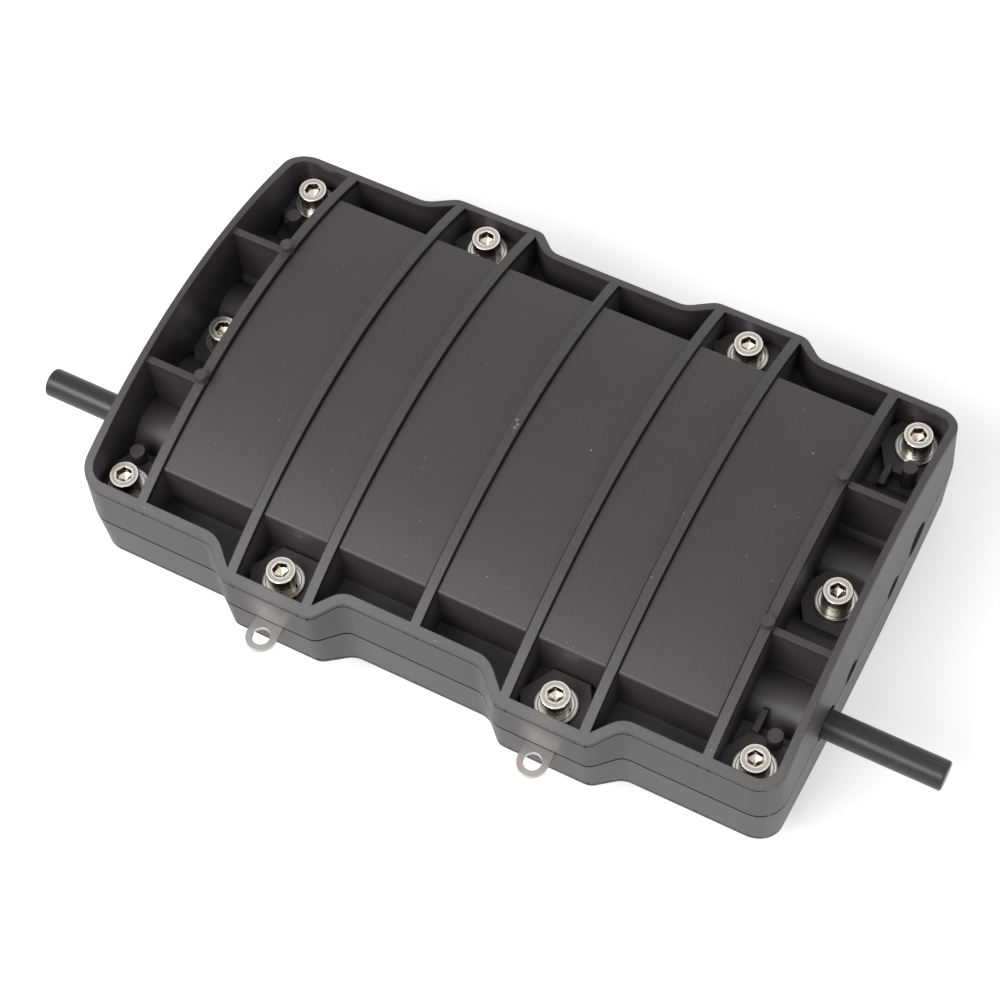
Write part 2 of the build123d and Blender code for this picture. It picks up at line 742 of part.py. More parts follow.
# Splice trays, open on top, with two fibre hubs and a hinge knuckle
for name, level in zip(("lower", "upper"), tray_levels):
    with BuildPart() as splice_tray:
        with BuildSketch(at(level)):
            RectangleRounded(2 * tray_half_length, 2 * tray_half_width, tray_corner)
        extrude(amount=tray_height)
        with BuildSketch(at(level + tray_wall)):
            RectangleRounded(2 * (tray_half_length - tray_wall), 2 * (tray_half_width - tray_wall),
                             tray_corner - tray_wall)
        extrude(amount=tray_height, mode=Mode.SUBTRACT)
        with BuildSketch(at(level + tray_wall)):
            with GridLocations(2 * hub_x, 0, 2, 1):
                Circle(hub_radius)
                Circle(hub_radius - hub_wall, mode=Mode.SUBTRACT)
        extrude(amount=hub_height)
        # Notches in the long walls, where fibres come in
        with BuildSketch(at(level + tray_height)):
            with GridLocations(2 * tray_notch_x, 2 * tray_half_width, 2, 2):
                Rectangle(tray_notch, 2 * (tray_wall + cut_margin))
        extrude(amount=-tray_notch_depth, mode=Mode.SUBTRACT)
        # Knuckle at the left end
        with BuildSketch(lengthways()):
            with Locations((-hinge_x, level + knuckle_radius)):
                Circle(knuckle_radius)
            with Locations((-hinge_x, level)):
                Rectangle(knuckle_radius + tray_wall / 2, knuckle_reach, align=(Align.MIN, Align.MIN))
            with Locations((-hinge_x, level + knuckle_radius)):
                Circle(pin_radius + pin_fit, mode=Mode.SUBTRACT)
        extrude(amount=knuckle_half_width, both=True)
    splice_tray.part.label = f"splice_tray_{name}"
    export_step(splice_tray.part, f"parts/splice_tray_{name}.step")

# Combs that hold the splices, two in each tray
with BuildPart() as splice_holders:
    comb_width = (holder_slots - 1) * holder_pitch + holder_slot_width + 2 * holder_wall
    for level in tray_levels:
        with BuildSketch(at(level + tray_wall)):
            with GridLocations(2 * holder_x, 0, 2, 1):
                Rectangle(holder_length, comb_width)
        extrude(amount=holder_height)
        for side in (-1, 1):
            with BuildSketch(at(level + tray_wall + holder_height)):
                with Locations((side * holder_x, 0)):
                    with GridLocations(0, holder_pitch, 1, holder_slots):
                        Rectangle(holder_length, holder_slot_width)
            extrude(amount=-holder_slot_depth, mode=Mode.SUBTRACT)
splice_holders.part.label = "splice_holders"
export_step(splice_holders.part, "parts/splice_holders.step")

# Pins of the tray hinges
with BuildPart() as tray_hinge_pins:
    with BuildSketch(lengthways()):
        for level in tray_levels:
            with Locations((-hinge_x, level + knuckle_radius)):
                Circle(pin_radius)
    extrude(amount=ear_y + ear_thickness / 2 + pin_overhang, both=True)
tray_hinge_pins.part.label = "tray_hinge_pins"
export_step(tray_hinge_pins.part, "parts/tray_hinge_pins.step")

# Clear lid on the upper tray
with BuildPart() as tray_lid:
    with BuildSketch(at(lid_level)):
        RectangleRounded(2 * tray_half_length, 2 * tray_half_width, tray_corner)
    extrude(amount=lid_thickness)
tray_lid.part.label = "tray_lid"
export_step(tray_lid.part, "parts/tray_lid.step")

# Strap around the trays and the bracket
with BuildPart() as tray_strap:
    strap_bottom = bracket_level - strap_clearance
    strap_top = lid_level + lid_thickness + strap_clearance
    strap_width_inside = 2 * (bracket_half_width + strap_clearance)
    with BuildSketch(across(0)):
        with Locations((0, (strap_bottom + strap_top) / 2)):
            RectangleRounded(strap_width_inside + 2 * strap_thickness,
                             strap_top - strap_bottom + 2 * strap_thickness, strap_corner + strap_thickness)
            RectangleRounded(strap_width_inside, strap_top - strap_bottom, strap_corner, mode=Mode.SUBTRACT)
    extrude(amount=strap_width / 2, both=True)
tray_strap.part.label = "tray_strap"
export_step(tray_strap.part, "parts/tray_strap.step")
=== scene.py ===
import math

import bpy
from mathutils import Matrix, Vector


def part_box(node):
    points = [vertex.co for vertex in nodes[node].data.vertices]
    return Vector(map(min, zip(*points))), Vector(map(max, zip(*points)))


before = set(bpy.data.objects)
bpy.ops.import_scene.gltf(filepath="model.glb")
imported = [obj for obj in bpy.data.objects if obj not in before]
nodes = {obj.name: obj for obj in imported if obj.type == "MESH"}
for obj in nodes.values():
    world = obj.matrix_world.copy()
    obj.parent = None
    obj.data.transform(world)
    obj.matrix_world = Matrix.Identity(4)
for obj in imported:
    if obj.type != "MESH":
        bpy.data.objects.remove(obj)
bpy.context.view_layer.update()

# The housing in the frame, in metres
COVER_LOW, COVER_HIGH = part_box("cover_shell")
MIDDLE_X = (COVER_LOW.x + COVER_HIGH.x) / 2
MIDDLE_Y = (COVER_LOW.y + COVER_HIGH.y) / 2
PARTING = COVER_LOW.z

# Radii of the two crowns and their height from the parting plane, as the moulds have them
COVER_CROWN = 0.177
BASE_CROWN = 0.190
CROWN_HEIGHT = 0.037
RIB_PLACES = (-0.1032, -0.0645, -0.0363, 0.0, 0.0363, 0.0645, 0.1032)
RIB_HALF = 0.0017

# Outer walls: the least distances of their faces from the middle, and how far those face outward
END_WALLS_FROM = COVER_HIGH.x - MIDDLE_X - 0.0030
LONG_WALLS_FROM = 0.0735
LOBE_WALLS_FROM = 0.0780
FACES_OUT = 0.2

# Places of the cover's screws in one quarter of the plan, and the top of their heads over the parting plane
SCREW_PLACES = ((0.1160, 0.0643), (0.1154, 0.0), (0.0504, 0.0724))
HEAD_TOP = 0.017
SHANK_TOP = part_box("flat_washers")[0].z
LUG_PLACE = 0.0504

# Depths under the crown between which each zone begins or ends
RIM_TOP = (0.0003, 0.0009)
DECK_BEGINS = (0.0005, 0.0008)
DECK_ENDS = (0.0022, 0.0028)
POCKET_BEGINS = (0.0024, 0.0060)

# Dark lines, those beside the ribs being painted shade: the distance of their middle from the crown or a
# rib's side, and half their width
RIM_LINE = (0.0015, 0.00045)
FINE_RIB_SHADE = (0.0003, 0.0005)
STRONG_RIB_SHADE = (0.0001, 0.0006)
JOINT_LINE_HALF = 0.00060

# From front to back, where the fine painted shade lines beside the ribs fade and the powder thins
FINE_RIB_SHADE_FADES = (MIDDLE_Y - 0.050, MIDDLE_Y + 0.030)
POWDER_THINS = (MIDDLE_Y - 0.065, MIDDLE_Y)

# The painted reflection of each steel lug on the wall above it: where it fades to its sides, and where it
# fades upward
REFLECTION_SIDES = (0.001, 0.010)
REFLECTION_HEIGHTS = (PARTING + 0.006, PARTING + 0.017)

# Rings round a screw's axis, painted shadow at the washers' edges and painted highlight on the heads: radius
# and half width
WASHER_SHADOW_RINGS = ((0.00600, 0.00030), (0.00680, 0.00016))
HIGHLIGHT_RINGS = ((0.0047, 0.0003), (0.0030, 0.0002))

# Radii round a screw's axis between which its head's worn ring begins and ends, and its socket ends
WORN_RING_BEGINS = (0.0031, 0.0034)
WORN_RING_ENDS = (0.0041, 0.0044)
SOCKET_ENDS = (0.0029, 0.0030)

# Scuffs and rust: place in millimetres from the middle of the parting plane, radius in metres, and strength
SCUFFS = (((-0.5, 1.7, 36.8), 0.0011, 0.50), ((0.5, 0.3, 36.8), 0.0010, 0.80),
          ((0.2, -1.2, 36.8), 0.0012, 0.55), ((93.1, -65.2, 23.0), 0.0009, 0.5))
RUST_PLACE = (-44.6, -75.6, 9.6)
RUST_RADIUS = 0.0018

# The photographer's camera
CAMERA_PLACE = Vector((0.2162, -0.3404, 0.7737))
CAMERA_FORWARD = Vector((-0.26358, 0.40041, -0.87761))
CAMERA_UP = Vector((-0.38301, 0.79155, 0.47618))
CAMERA_LENS = 89.315
SENSOR = 36.0

# Lamps: name, place, width, height and power in watts
LAMPS = (("key_lamp", (-0.50, -1.00, 1.30), 1.3, 0.8, 24.0),
         ("side_lamp", (1.50, -0.15, 0.75), 0.9, 0.9, 5.0))
LAMP_TARGET = (0, 0, 0.05)
WORLD_LIGHT = 0.40
FLOOR_GLOW = 0.45
FLOOR_HALF = 4.0

# Colours, as linear light
SHELL_DARK = (0.0335, 0.0275, 0.0305, 1)
SHELL_LIGHT = (0.0570, 0.0480, 0.0525, 1)
POCKET_FILL_PALE = (0.0600, 0.0500, 0.0560, 1)
LUG_REFLECTION_PALE = (0.330, 0.300, 0.280, 1)
SCUFF = (0.100, 0.095, 0.095, 1)
LINE_DARK = (0.006, 0.005, 0.0055, 1)
DUST = (0.45, 0.43, 0.42, 1)
ROD_BLACK = (0.012, 0.012, 0.013, 1)
ROD_SCUFF = (0.050, 0.050, 0.052, 1)
STEEL = (0.66, 0.63, 0.58, 1)
STEEL_DULL = (0.42, 0.40, 0.37, 1)
LUG_STEEL = (0.46, 0.440, 0.420, 1)
LUG_DULL = (0.33, 0.310, 0.295, 1)
STEEL_WORN = (0.40, 0.375, 0.34, 1)
STEEL_HIGHLIGHT = (0.88, 0.85, 0.80, 1)
STEEL_SHADE = (0.075, 0.068, 0.060, 1)
SOCKET_WALL_SHADE = (0.16, 0.13, 0.11, 1)
SOCKET_FLOOR = (0.70, 0.63, 0.52, 1)
RUST = (0.62, 0.20, 0.03, 1)
ZINC_LIGHT = (0.62, 0.63, 0.64, 1)
ZINC_DARK = (0.44, 0.45, 0.47, 1)
BRASS_LIGHT = (0.78, 0.52, 0.20, 1)
BRASS_DARK = (0.52, 0.32, 0.11, 1)
RUBBER_DARK = (0.010, 0.010, 0.011, 1)
RUBBER_LIGHT = (0.028, 0.028, 0.029, 1)
TRAY_LIGHT = (0.66, 0.67, 0.66, 1)
TRAY_DARK = (0.56, 0.57, 0.56, 1)
HOLDER_LIGHT = (0.80, 0.80, 0.77, 1)
HOLDER_DARK = (0.70, 0.70, 0.67, 1)
LID_TINT = (0.90, 0.93, 0.94, 1)
STRAP_DARK = (0.006, 0.006, 0.007, 1)
STRAP_LIGHT = (0.035, 0.035, 0.038, 1)
FLOOR_PALE = (0.86, 0.86, 0.86, 1)
WHITE = (1, 1, 1, 1)

# Sizes of the finishes, in metres
GRAIN = 0.00045
SPECKLE = 0.0011
MOTTLE = 0.045
LONG_SCRATCH = 0.0011
CROSS_SCRATCH = 0.0012
ROD_GRAIN = 0.0006
ROD_SCUFFS = 0.006
ROD_SCRATCH = 0.0008
METAL_GRAIN = 0.0012
ZINC_GRAIN = 0.004
DULL_PATCHES = 0.009
HEAD_SPECKS = 0.0004
SKIN_GRAIN = 0.0009
SKIN_CLOUDS = 0.02
LID_HAZE = 0.015
LID_HAIRS = 0.0010
WEFT_PITCH = 0.0011
WARP_PITCH = 0.0016
STRAP_FUZZ = 0.0004
THREAD_PITCH = 0.001
EDGE_ROUND = 0.0004
METAL_EDGE_ROUND = 0.00025

# Dust on what faces up: spacing of its specks, their size and the share of places that have one
DUST_SPECKS = (0.011, 0.0008, 0.65)
FINE_DUST_SPECKS = (0.0040, 0.0005, 0.60)
POWDER_SPECKS = (0.0012, 0.00022, 0.70)

# Values of a noise, from 0 to 1, between which what it draws begins and fully shows
GRAIN_SHOWS = (0.30, 0.72)
RUBBING_SHOWS = (0.35, 0.75)
SCRATCH_SHOWS = (0.70, 0.78)
ROD_SCUFFS_SHOW = (0.56, 0.74)
ROD_SCRATCH_SHOWS = (0.66, 0.76)
REFLECTION_STREAKS_SHOW = (0.40, 0.56)
PATCHES_SHOW = (0.45, 0.75)
SPECKS_SHOW = (0.35, 0.65)
HAIRS_SHOW = (0.68, 0.76)

# Z of a face's normal between which each of these begins and is complete
SCRATCHED_FACE = (0.6, 0.9)
DUSTY_FACE = (0.3, 0.8)
SLOPING_FACE = (0.35, 0.75)
SOCKET_FLOOR_FACE = (0.2, 0.4)

# Heights in the relief, as multiples of its distance
RIM_LINE_DEPTH = 2.0
THREAD_HEIGHT = 5.0

# How strongly each mark shows, from 0 to 1
POCKET_FILL_SHOWS = 0.85
SCRATCHES = 0.07
LUG_REFLECTION_SHOWS = 0.50
RIM_LINES = 0.9
STRONG_SHADE_SHOWS = 0.8
DUST_SHOWS = 0.75
FINE_DUST_SHOWS = 0.40
DULLED = 0.35
SHADED = 0.85
RINGS_SHADOWED = 0.75
PAINTED_HIGHLIGHTS = 0.9
RUSTED = 0.9
SHELL_GLOSS = 0.48


class Graph:
    """The nodes of one material, added and linked in short calls."""

    def __init__(self, name):
        self.material = bpy.data.materials.new(name)
        self.material.use_nodes = True
        self.tree = self.material.node_tree
        self.shader = self.tree.nodes["Principled BSDF"]
        self.place = self.add("ShaderNodeTexCoord").outputs["Object"]
        self.axes = self.add("ShaderNodeSeparateXYZ", {"Vector": self.place}).outputs
        self.normal = self.add("ShaderNodeNewGeometry").outputs["Normal"]
        self.facing = self.add("ShaderNodeSeparateXYZ", {"Vector": self.normal}).outputs

    def add(self, kind, inputs=None, **settings):
        node = self.tree.nodes.new(kind)
        for key, value in settings.items():
            setattr(node, key, value)
        for key, value in (inputs or {}).items():
            self.put(node.inputs[key], value)
        return node

    def put(self, socket, value):
        if isinstance(value, bpy.types.NodeSocket):
            self.tree.links.new(value, socket)
        else:
            socket.default_value = value

    def math(self, operation, *values):
        node = self.add("ShaderNodeMath", operation=operation)
        for socket, value in zip(node.inputs, values):
            self.put(socket, value)
        return node.outputs[0]

    def product(self, *values):
        result = values[0]
        for value in values[1:]:
            result = self.math("MULTIPLY", result, value)
        return result

    def weighted(self, *pairs, base=None):
        """The sum of base and of each value times its weight."""
        result = base
        for value, weight in reversed(pairs):
            if result is None:
                result = self.math("MULTIPLY", value, weight)
            else:
                result = self.math("MULTIPLY_ADD", value, weight, result)
        return result

    def largest(self, *values):
        result = values[0]
        for value in values[1:]:
            result = self.math("MAXIMUM", result, value)
        return result

    def distance(self, a, b):
        return self.add("ShaderNodeVectorMath", {0: a, 1: b}, operation="DISTANCE").outputs["Value"]

    def ramp(self, value, low, high, to_low=0.0, to_high=1.0):
        """value from low to high becomes to_low to to_high, eased and clamped."""
        inputs = {0: value, 1: low, 2: high, 3: to_low, 4: to_high}
        return self.add("ShaderNodeMapRange", inputs, interpolation_type="SMOOTHSTEP").outputs[0]

    def fall(self, value, low, high):
        """1 up to low, falling to 0 at high."""
        return self.ramp(value, low, high, to_low=1.0, to_high=0.0)

    def band(self, value, middle, half_width):
        """1 where value is at middle, falling to 0 at half_width from it."""
        away = self.math("ABSOLUTE", self.math("SUBTRACT", value, middle))
        return self.fall(away, half_width * 0.5, half_width)

    def mix(self, factor, a, b):
        node = self.add("ShaderNodeMix", data_type="RGBA")
        self.put(node.inputs["Factor"], factor)
        self.put(node.inputs[6], a)
        self.put(node.inputs[7], b)
        return node.outputs[2]

    def noise(self, size, detail=2.0, roughness=0.5, stretch=(1, 1, 1), offset=0.0):
        """Noise whose features are about size across, drawn out along the axes by stretch."""
        scale = tuple(1 / (size * s) for s in stretch)
        placed = self.add("ShaderNodeMapping", {"Vector": self.place, "Scale": scale})
        placed.inputs["Location"].default_value = (offset, offset, offset)
        inputs = {"Vector": placed.outputs[0], "Scale": 1.0, "Detail": detail, "Roughness": roughness}
        return self.add("ShaderNodeTexNoise", inputs).outputs["Fac"]

    def specks(self, spacing, size, share):
        """Small round specks of up to size across, in that share of the cells."""
        cells = self.add("ShaderNodeTexVoronoi", {"Vector": self.place, "Scale": 1 / spacing})
        chance = self.add("ShaderNodeSeparateColor", {"Color": cells.outputs["Color"]}).outputs
        radius = self.math("MULTIPLY", chance["Green"], size / spacing / 2)
        inside = self.math("LESS_THAN", cells.outputs["Distance"], radius)
        return self.product(inside, self.math("LESS_THAN", chance["Red"], share))

    def near(self, point, radius):
        """1 at a point, falling to 0 at about radius from it, with a ragged edge."""
        edge = self.noise(radius * 0.5, detail=4.0)
        ragged = self.weighted((edge, radius * 1.2), base=self.distance(self.place, point))
        return self.fall(ragged, radius * 0.6, radius * 1.3)

    def bump(self, height, distance, strength, round_edges=EDGE_ROUND):
        """Relief on the surface, over edges that look rounded."""
        rounded = self.add("ShaderNodeBevel", {"Radius": round_edges}, samples=6).outputs[0]
        inputs = {"Height": height, "Distance": distance, "Strength": strength, "Normal": rounded}
        self.put(self.shader.inputs["Normal"], self.add("ShaderNodeBump", inputs).outputs[0])

    def finish(self, **sockets):
        for key, value in sockets.items():
            self.put(self.shader.inputs[key.replace("_", " ")], value)
        return self.material


def from_middle(g):
    """A point's x and y from the middle of the housing."""
    return g.math("SUBTRACT", g.axes["X"], MIDDLE_X), g.math("SUBTRACT", g.axes["Y"], MIDDLE_Y)


def spot(x, y, z):
    """A point of the frame, given in millimetres from the middle of the housing's parting plane."""
    return Vector((MIDDLE_X + x / 1000, MIDDLE_Y + y / 1000, PARTING + z / 1000))


def crown_depth(g, sign):
    """How far a point of a half lies below its crown: sign is 1 in the cover and -1 in the base."""
    radius = COVER_CROWN if sign > 0 else BASE_CROWN
    top = PARTING + sign * CROWN_HEIGHT
    y = from_middle(g)[1]
    rise = g.math("SQRT", g.math("SUBTRACT", radius * radius, g.math("MULTIPLY", y, y)))
    drop = g.math("SUBTRACT", radius, rise)
    below = g.math("MULTIPLY", g.math("SUBTRACT", top, g.axes["Z"]), sign)
    return g.math("SUBTRACT", below, drop)


def outward(g):
    """1 on the outer faces of the housing's walls, 0 elsewhere."""
    walls = []
    for axis, place, least in zip("XY", from_middle(g), (END_WALLS_FROM, LONG_WALLS_FROM)):
        far = g.math("GREATER_THAN", g.math("ABSOLUTE", place), least)
        turned = g.product(g.math("SIGN", place), g.facing[axis])
        walls.append(g.product(far, g.math("GREATER_THAN", turned, FACES_OUT)))
    return g.largest(*walls)


def rib_shade_lines(g, depth):
    """1 on the painted shade lines along the cross ribs: a fine one on the left, fading to the back, and a
    strong one on the right.
    """
    x = from_middle(g)[0]
    fine_away, fine_half = FINE_RIB_SHADE
    strong_away, strong_half = STRONG_RIB_SHADE
    fine, strong = 0.0, 0.0
    for rib_x in RIB_PLACES:
        fine = g.largest(fine, g.band(x, rib_x - RIB_HALF - fine_away, fine_half))
        strong = g.largest(strong, g.band(x, rib_x + RIB_HALF + strong_away, strong_half))
    on_deck = g.product(g.ramp(depth, *DECK_BEGINS), g.fall(depth, *DECK_ENDS))
    fading = g.ramp(g.axes["Y"], *FINE_RIB_SHADE_FADES, to_low=0.8, to_high=0.1)
    return g.product(on_deck, g.largest(g.product(fine, fading), g.product(strong, STRONG_SHADE_SHOWS)))


def lug_reflection(g):
    """1 on the front wall above each hanging lug, where a painted reflection of the steel lug lies."""
    x = g.math("ABSOLUTE", from_middle(g)[0])
    across = g.fall(g.math("ABSOLUTE", g.math("SUBTRACT", x, LUG_PLACE)), *REFLECTION_SIDES)
    up = g.ramp(g.axes["Z"], *REFLECTION_HEIGHTS, to_low=1.0, to_high=0.2)
    front = g.math("LESS_THAN", g.axes["Y"], MIDDLE_Y - LOBE_WALLS_FROM)
    return g.product(across, up, front)


def from_screw_axis(g):
    """Distance in plan from the nearest screw of the cover."""
    x, y = (g.math("ABSOLUTE", place) for place in from_middle(g))
    place = g.add("ShaderNodeCombineXYZ", {"X": x, "Y": y}).outputs[0]
    nearest = 1.0
    for screw_x, screw_y in SCREW_PLACES:
        nearest = g.math("MINIMUM", nearest, g.distance(place, (screw_x, screw_y, 0)))
    return nearest


def wear_and_pocket_fill(g, color, sign, depth, outer, speckle):
    """Paler pockets as a painted fill light against their shade, paler rubbed rims and rib tops, and
    scratches on what faces up.
    """
    # Painted fill light: the pockets are coloured paler against the shade in them
    pocket = g.product(g.ramp(depth, *POCKET_BEGINS), g.math("SUBTRACT", 1.0, outer))
    color = g.mix(g.product(pocket, POCKET_FILL_SHOWS), color, POCKET_FILL_PALE)
    rubbing = g.ramp(speckle, *RUBBING_SHOWS, to_low=0.06, to_high=0.26)
    rubbed = g.product(g.fall(depth, *RIM_TOP), rubbing)
    color = g.mix(rubbed, color, SCUFF)
    up = g.ramp(g.math("MULTIPLY", g.facing["Z"], sign), *SCRATCHED_FACE)
    lengthways = g.noise(LONG_SCRATCH, detail=1.0, roughness=0.4, stretch=(30, 1, 8))
    crossways = g.noise(CROSS_SCRATCH, detail=1.0, roughness=0.4, stretch=(1, 26, 8), offset=7.7)
    scratches = g.largest(g.ramp(lengthways, *SCRATCH_SHOWS), g.ramp(crossways, *SCRATCH_SHOWS))
    return g.mix(g.product(up, scratches, SCRATCHES), color, SCUFF)


def dusty(g, color, marks):
    """Dust and fine powder on what faces up, more of it to the front, and single marks of use."""
    dust = g.product(g.specks(*DUST_SPECKS), DUST_SHOWS)
    fine_dust = g.product(g.specks(*FINE_DUST_SPECKS), FINE_DUST_SHOWS)
    to_front = g.ramp(g.axes["Y"], *POWDER_THINS, to_low=0.30, to_high=0.05)
    powder = g.product(g.specks(*POWDER_SPECKS), to_front)
    settled = g.product(g.largest(dust, fine_dust, powder), g.ramp(g.facing["Z"], *DUSTY_FACE))
    color = g.mix(settled, color, DUST)
    for place, radius, strength in marks:
        color = g.mix(g.product(g.near(spot(*place), radius), strength), color, DUST)
    return color


def shell_plastic(name, sign, marks=()):
    """Black moulded plastic with a fine grain, a paler rubbed crown, dark joint lines, painted shade beside
    the ribs, a painted fill light in the pockets and, on the cover, a painted reflection over each lug.
    """
    g = Graph(name)
    grain = g.noise(GRAIN, detail=3.0, roughness=0.6)
    speckle = g.noise(SPECKLE, offset=3.1)
    mottle = g.noise(MOTTLE, detail=3.0)
    depth = crown_depth(g, sign)
    outer = outward(g)
    tone = g.weighted((g.ramp(grain, *GRAIN_SHOWS), 0.55), (mottle, 0.5))
    color = wear_and_pocket_fill(g, g.mix(tone, SHELL_DARK, SHELL_LIGHT), sign, depth, outer, speckle)
    if sign > 0:
        # Painted reflection of the steel lug: the wall above each lug is coloured pale
        color = g.mix(g.product(lug_reflection(g), outer, LUG_REFLECTION_SHOWS), color, LUG_REFLECTION_PALE)
    # The joint between the halves, the fine line under the outer edge of the rim, and painted shade beside
    # the ribs
    joint = g.product(g.band(g.axes["Z"], PARTING, JOINT_LINE_HALF), outer)
    rim_line = g.product(outer, g.band(depth, *RIM_LINE), RIM_LINES)
    lines = g.largest(joint, rim_line, rib_shade_lines(g, depth))
    color = dusty(g, g.mix(lines, color, LINE_DARK), marks)
    rough = g.weighted((grain, 0.16), (mottle, 0.10), base=0.33)
    relief = g.weighted((speckle, 0.5), base=grain)
    relief = g.math("SUBTRACT", relief, g.math("MULTIPLY", rim_line, RIM_LINE_DEPTH))
    g.bump(relief, distance=0.00006, strength=0.55)
    # White surroundings shine off the walls, so the dark lines are less glossy too
    gloss = g.math("MULTIPLY", g.math("SUBTRACT", 1.0, lines), SHELL_GLOSS)
    return g.finish(Base_Color=color, Roughness=rough, Specular_IOR_Level=gloss)


def rod_plastic(name):
    """Satin black rod with faint scuffs along it."""
    g = Graph(name)
    fine = g.noise(ROD_GRAIN, detail=3.0, roughness=0.6, stretch=(6, 1, 1))
    scuffs = g.ramp(g.noise(ROD_SCUFFS, detail=4.0, roughness=0.7), *ROD_SCUFFS_SHOW)
    lengthways = g.noise(ROD_SCRATCH, detail=1.0, roughness=0.4, stretch=(24, 1, 1), offset=2.0)
    rubbed = g.largest(g.product(scuffs, 0.5), g.product(g.ramp(lengthways, *ROD_SCRATCH_SHOWS), 0.6))
    color = g.mix(rubbed, ROD_BLACK, ROD_SCUFF)
    rough = g.weighted((rubbed, 0.20), (fine, 0.08), base=0.30)
    g.bump(fine, distance=0.00004, strength=0.4)
    return g.finish(Base_Color=color, Roughness=rough)


def turned_shade(g, color):
    """Painted shade on the upright sides of the round steel pieces, darker on the side turned from the lamps
    and broken by painted reflection streaks, and fine painted shadow rings round the screws' axes.
    """
    upright = g.fall(g.math("ABSOLUTE", g.facing["Z"]), *SLOPING_FACE)
    # Painted shade by facing: darker on the side turned from the lamps, broken by painted reflection streaks
    lit = g.weighted((g.facing["X"], -0.75), (g.facing["Y"], -0.45))
    reflection_streaks = g.add("ShaderNodeTexNoise", {"Vector": g.normal, "Scale": 3.4, "Detail": 2.0}).outputs["Fac"]
    shade = g.product(g.ramp(lit, -0.25, 0.60, to_low=1.0, to_high=0.10),
                      g.ramp(reflection_streaks, *REFLECTION_STREAKS_SHOW, to_low=0.20, to_high=1.0))
    color = g.mix(g.product(upright, shade, SHADED), color, STEEL_SHADE)
    # Painted shadow rings at the washers' edges
    away = from_screw_axis(g)
    rings = g.largest(*(g.band(away, *ring) for ring in WASHER_SHADOW_RINGS))
    return g.mix(g.product(rings, RINGS_SHADOWED), color, STEEL_SHADE)


def screw_finish(g, color):
    """Speckled worn rings and painted highlight rings on the screws' heads, and painted shade on their
    socket walls over a pale brown socket floor.
    """
    away = from_screw_axis(g)
    height = g.math("SUBTRACT", g.axes["Z"], PARTING)
    on_top = g.math("GREATER_THAN", height, HEAD_TOP - 0.0001)
    ring = g.product(g.ramp(away, *WORN_RING_BEGINS), g.fall(away, *WORN_RING_ENDS))
    specks = g.ramp(g.noise(HEAD_SPECKS, detail=3.0, roughness=0.7), *SPECKS_SHOW, to_low=0.45)
    color = g.mix(g.product(ring, on_top, specks), color, STEEL_WORN)
    # Painted highlights: bright rings on the heads' tops
    bright = g.largest(*(g.band(away, *ring) for ring in HIGHLIGHT_RINGS))
    color = g.mix(g.product(bright, on_top, PAINTED_HIGHLIGHTS), color, STEEL_HIGHLIGHT)
    # Painted shade on the socket walls, over a pale brown socket floor
    below_top = g.math("LESS_THAN", height, HEAD_TOP - 0.0002)
    inside = g.product(g.fall(away, *SOCKET_ENDS), below_top)
    floor = g.ramp(g.facing["Z"], *SOCKET_FLOOR_FACE)
    return g.mix(inside, color, g.mix(floor, SOCKET_WALL_SHADE, SOCKET_FLOOR))


def metal(name, light, dark, grain=METAL_GRAIN, stretch=(1, 1, 1), smooth=0.14, rust=None,
          turned=False, screws=False):
    """Bright metal with a fine finish, dull patches, and rust where its place and radius are given."""
    g = Graph(name)
    fine = g.noise(grain, detail=3.0, roughness=0.6, stretch=stretch)
    patches = g.ramp(g.noise(DULL_PATCHES, offset=5.3), *PATCHES_SHOW)
    color = g.mix(g.product(patches, DULLED), light, dark)
    if turned:
        color = turned_shade(g, color)
    rough = g.weighted((fine, 0.10), (patches, 0.12), base=smooth)
    relief = g.math("MULTIPLY", fine, 0.3)
    metallic = 1.0
    if screws:
        color = screw_finish(g, color)
        turns = g.math("SINE", g.math("MULTIPLY", g.axes["Z"], 2 * math.pi / THREAD_PITCH))
        shank = g.math("LESS_THAN", g.axes["Z"], SHANK_TOP)
        relief = g.math("ADD", relief, g.product(turns, shank, THREAD_HEIGHT))
    if rust:
        rusty = g.near(*rust)
        color = g.mix(g.product(rusty, RUSTED), color, RUST)
        rough = g.weighted((rusty, 0.5), base=rough)
        metallic = g.math("SUBTRACT", 1.0, rusty)
    g.bump(relief, distance=0.00003, strength=0.35, round_edges=METAL_EDGE_ROUND)
    return g.finish(Base_Color=color, Roughness=rough, Metallic=metallic)


def moulded(name, light, dark, smooth=0.38):
    """Plain moulded plastic or rubber with a fine skin."""
    g = Graph(name)
    fine = g.noise(SKIN_GRAIN, detail=3.0, roughness=0.6)
    cloud = g.noise(SKIN_CLOUDS, detail=3.0, offset=1.7)
    color = g.mix(g.weighted((fine, 0.5), (cloud, 0.5)), dark, light)
    g.bump(fine, distance=0.00005, strength=0.4)
    return g.finish(Base_Color=color, Roughness=g.weighted((fine, 0.15), base=smooth))


def clear_plastic(name):
    """Clear sheet with faint haze and scratches."""
    g = Graph(name)
    haze = g.noise(LID_HAZE, detail=3.0)
    hairs = g.ramp(g.noise(LID_HAIRS, detail=1.0, roughness=0.4, stretch=(22, 1, 1)), *HAIRS_SHOW)
    color = g.mix(g.product(hairs, 0.3), LID_TINT, TRAY_LIGHT)
    rough = g.weighted((hairs, 0.3), (haze, 0.06), base=0.04)
    g.bump(haze, distance=0.00004, strength=0.3)
    return g.finish(Base_Color=color, Roughness=rough, Transmission_Weight=0.92, IOR=1.46)


